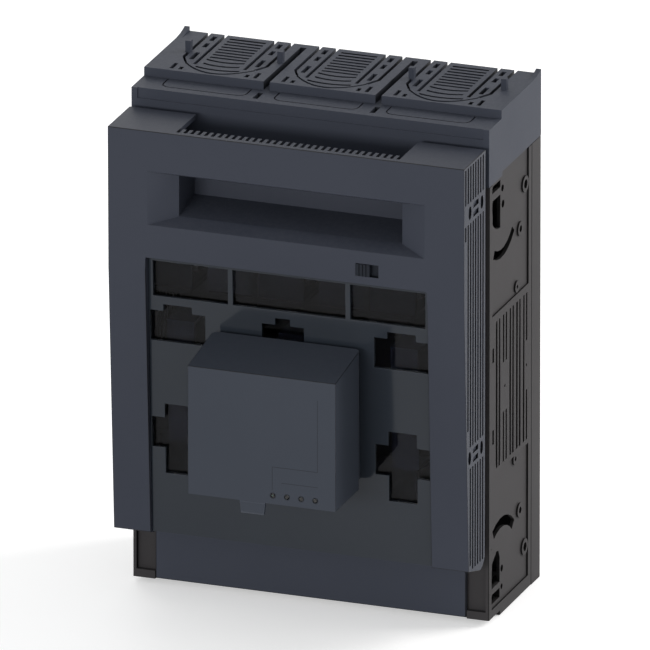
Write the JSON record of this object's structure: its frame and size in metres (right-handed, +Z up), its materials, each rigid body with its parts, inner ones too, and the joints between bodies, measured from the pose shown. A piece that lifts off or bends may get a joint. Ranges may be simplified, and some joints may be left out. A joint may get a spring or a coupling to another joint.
{
  "type": "fuse switch disconnector",
  "caption": "Upright multi-pole fuse switch disconnector with a box-shaped handle unit that swings forward about its foot, a finger recess, a vented terminal cover and a fuse monitor.",
  "frame": {"origin": "middle of the back face, half way up the height of the upper terminal cover's top", "axes": "X from pole to pole, +Z up, +Y back into the mounting plate, so the front faces -Y"},
  "size_m": [0.21, 0.1633, 0.303],
  "materials": {
    "black_brown_plastic": "fine matt moulding",
    "blue_grey_plastic": "fine matt moulding",
    "grey_plastic": "satin moulding",
    "smoked_clear_plastic": "clear smoked plastic",
    "silvered_copper": "silver-plated copper",
    "spring_steel": "plain steel",
    "zinc_steel": "zinc-plated",
    "circuit_board": "green solder mask",
    "clear_light_guide": "clear moulding"
  },
  "bodies": {
    "base": {"rear_base": "black_brown_plastic", "base_housing": "black_brown_plastic", "upper_terminal_cover": "blue_grey_plastic", "lower_terminal_cover": "blue_grey_plastic", "hinge_pin_left": "zinc_steel", "hinge_pin_right": "zinc_steel", "contact_upper_1": "silvered_copper", "jaw_spring_upper_1": "spring_steel", "touch_guard_upper_1": "black_brown_plastic", "contact_screw_upper_1": "zinc_steel", "terminal_bolt_upper_1": "zinc_steel", "contact_lower_1": "silvered_copper", "jaw_spring_lower_1": "spring_steel", "touch_guard_lower_1": "black_brown_plastic", "contact_screw_lower_1": "zinc_steel", "terminal_bolt_lower_1": "zinc_steel", "arc_chute_1": "grey_plastic", "deion_stack_1": "spring_steel", "contact_upper_2": "silvered_copper", "jaw_spring_upper_2": "spring_steel", "touch_guard_upper_2": "black_brown_plastic", "contact_screw_upper_2": "zinc_steel", "terminal_bolt_upper_2": "zinc_steel", "contact_lower_2": "silvered_copper", "jaw_spring_lower_2": "spring_steel", "touch_guard_lower_2": "black_brown_plastic", "contact_screw_lower_2": "zinc_steel", "terminal_bolt_lower_2": "zinc_steel", "arc_chute_2": "grey_plastic", "deion_stack_2": "spring_steel", "contact_upper_3": "silvered_copper", "jaw_spring_upper_3": "spring_steel", "touch_guard_upper_3": "black_brown_plastic", "contact_screw_upper_3": "zinc_steel", "terminal_bolt_upper_3": "zinc_steel", "contact_lower_3": "silvered_copper", "jaw_spring_lower_3": "spring_steel", "touch_guard_lower_3": "black_brown_plastic", "contact_screw_lower_3": "zinc_steel", "terminal_bolt_lower_3": "zinc_steel", "arc_chute_3": "grey_plastic", "deion_stack_3": "spring_steel"},
    "handle_unit": {"handle_frame": "blue_grey_plastic", "fuse_carrier_plate": "grey_plastic", "inspection_window": "smoked_clear_plastic", "fuse_gripper_1": "grey_plastic", "fuse_gripper_2": "grey_plastic", "fuse_gripper_3": "grey_plastic", "monitor_base": "grey_plastic", "monitor_housing": "blue_grey_plastic", "monitor_board": "circuit_board", "light_guide": "clear_light_guide", "monitor_screw_1": "zinc_steel", "monitor_screw_2": "zinc_steel", "monitor_screw_3": "zinc_steel", "monitor_screw_4": "zinc_steel"},
    "lock_slider": {"lock_slider": "blue_grey_plastic"}
  },
  "joints": [
    {"name": "handle_hinge", "type": "hinge", "parent": "base", "child": "handle_unit", "pos_m": [0, -0.098, -0.10225], "axis": [1, 0, 0], "range_deg": [0, 70]},
    {"name": "lock_slide", "type": "slide", "parent": "handle_unit", "child": "lock_slider", "axis": [1, 0, 0], "range_m": [0, 0.0048]}
  ]
}
